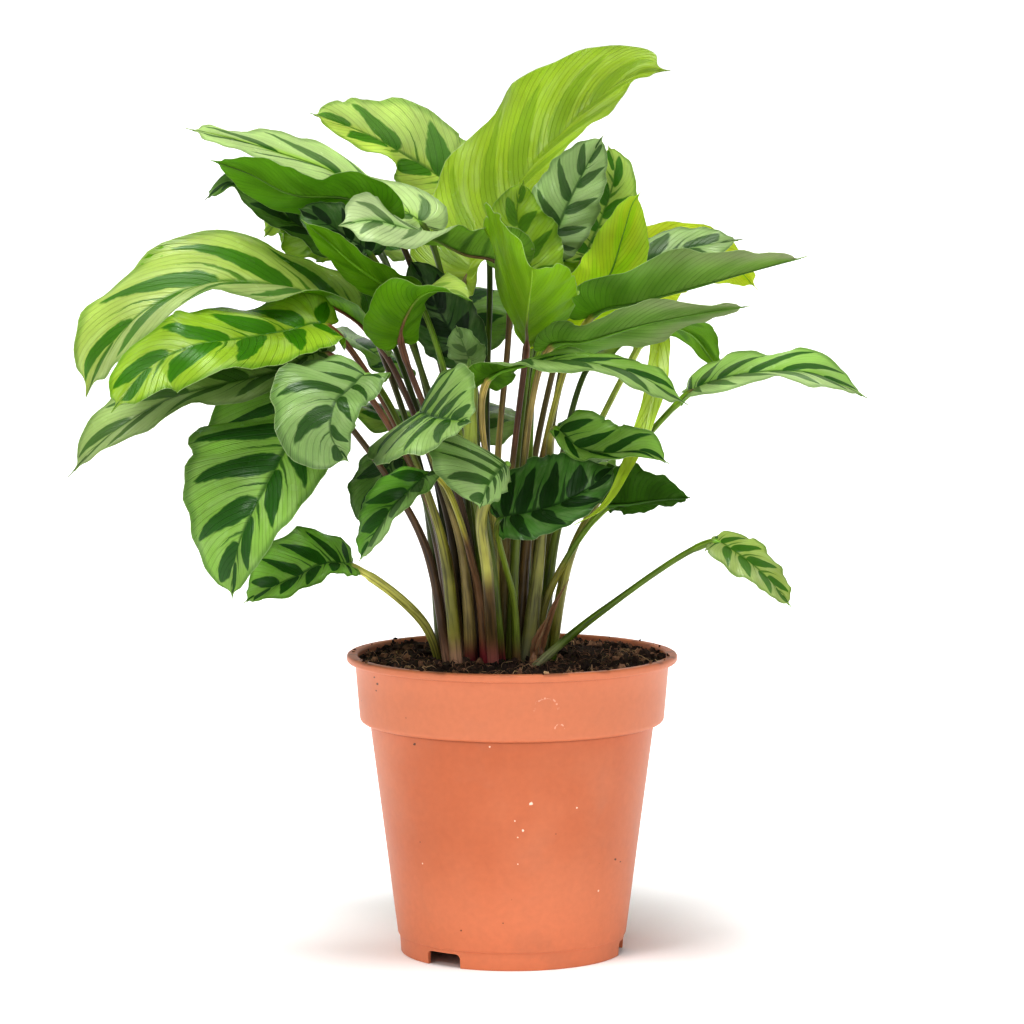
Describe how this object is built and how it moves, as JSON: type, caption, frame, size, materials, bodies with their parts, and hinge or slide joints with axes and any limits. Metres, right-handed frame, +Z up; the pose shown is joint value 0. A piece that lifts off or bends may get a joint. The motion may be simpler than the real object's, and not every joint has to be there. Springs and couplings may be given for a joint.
{
  "type": "potted calathea",
  "caption": "Potted calathea: striped oval leaves on thin stalks over dark soil in a round plastic pot with a stepped collar.",
  "frame": {"origin": "middle of the pot's foot, on the surface that the pot stands on", "axes": "+Z up along the pot's axis, -Y towards the side that the picture shows, +X to that side's right"},
  "size_m": [0.325, 0.2606, 0.3831],
  "materials": {
    "pot_plastic": "satin",
    "soil": "matte",
    "leaf_dark": "satin",
    "leaf_dry": "matte",
    "leaf_fresh": "satin",
    "leaf_mature": "satin",
    "leaf_pale": "satin",
    "leaf_shade": "satin",
    "leaf_silver": "satin",
    "leaf_young": "satin"
  },
  "bodies": {
    "root": {"pot": "pot_plastic", "soil": "soil", "leaf_back_high": "leaf_young", "leaf_back_left_high": "leaf_silver", "leaf_back_left_low": "leaf_fresh", "leaf_back_lowest": "leaf_mature", "leaf_back_middle": "leaf_mature", "leaf_back_pale": "leaf_pale", "leaf_back_right_high": "leaf_fresh", "leaf_back_right_low": "leaf_fresh", "leaf_back_right_wide": "leaf_mature", "leaf_back_silver": "leaf_silver", "leaf_front_dark": "leaf_shade", "leaf_front_notched": "leaf_mature", "leaf_front_rolled": "leaf_mature", "leaf_front_silver": "leaf_silver", "leaf_front_turned": "leaf_dark", "leaf_high_banded": "leaf_dark", "leaf_high_dark": "leaf_dark", "leaf_high_narrow": "leaf_fresh", "leaf_high_shaded": "leaf_shade", "leaf_high_small": "leaf_young", "leaf_left_bright": "leaf_young", "leaf_left_broad": "leaf_fresh", "leaf_left_funnel": "leaf_fresh", "leaf_left_hanging": "leaf_mature", "leaf_left_hidden": "leaf_dark", "leaf_left_lowest": "leaf_mature", "leaf_left_pale": "leaf_pale", "leaf_left_silver": "leaf_silver", "leaf_middle_keeled": "leaf_young", "leaf_middle_shaded": "leaf_shade", "leaf_middle_silver": "leaf_silver", "leaf_middle_small": "leaf_silver", "leaf_right_arched": "leaf_mature", "leaf_right_front": "leaf_mature", "leaf_right_grey": "leaf_silver", "leaf_right_long": "leaf_dark", "leaf_right_lowest": "leaf_fresh", "leaf_right_middle": "leaf_dark", "leaf_right_pale": "leaf_young", "leaf_right_shaded": "leaf_shade", "leaf_right_strap": "leaf_young", "leaf_right_upright": "leaf_fresh", "leaf_top_banded": "leaf_fresh", "leaf_top_bright": "leaf_young", "leaf_top_left": "leaf_fresh", "leaf_top_long": "leaf_mature", "leaf_top_silver": "leaf_silver", "leaf_top_tallest": "leaf_young", "sheath_dry_red": "leaf_dry", "sheath_dry_tan": "leaf_dry"}
  },
  "joints": []
}
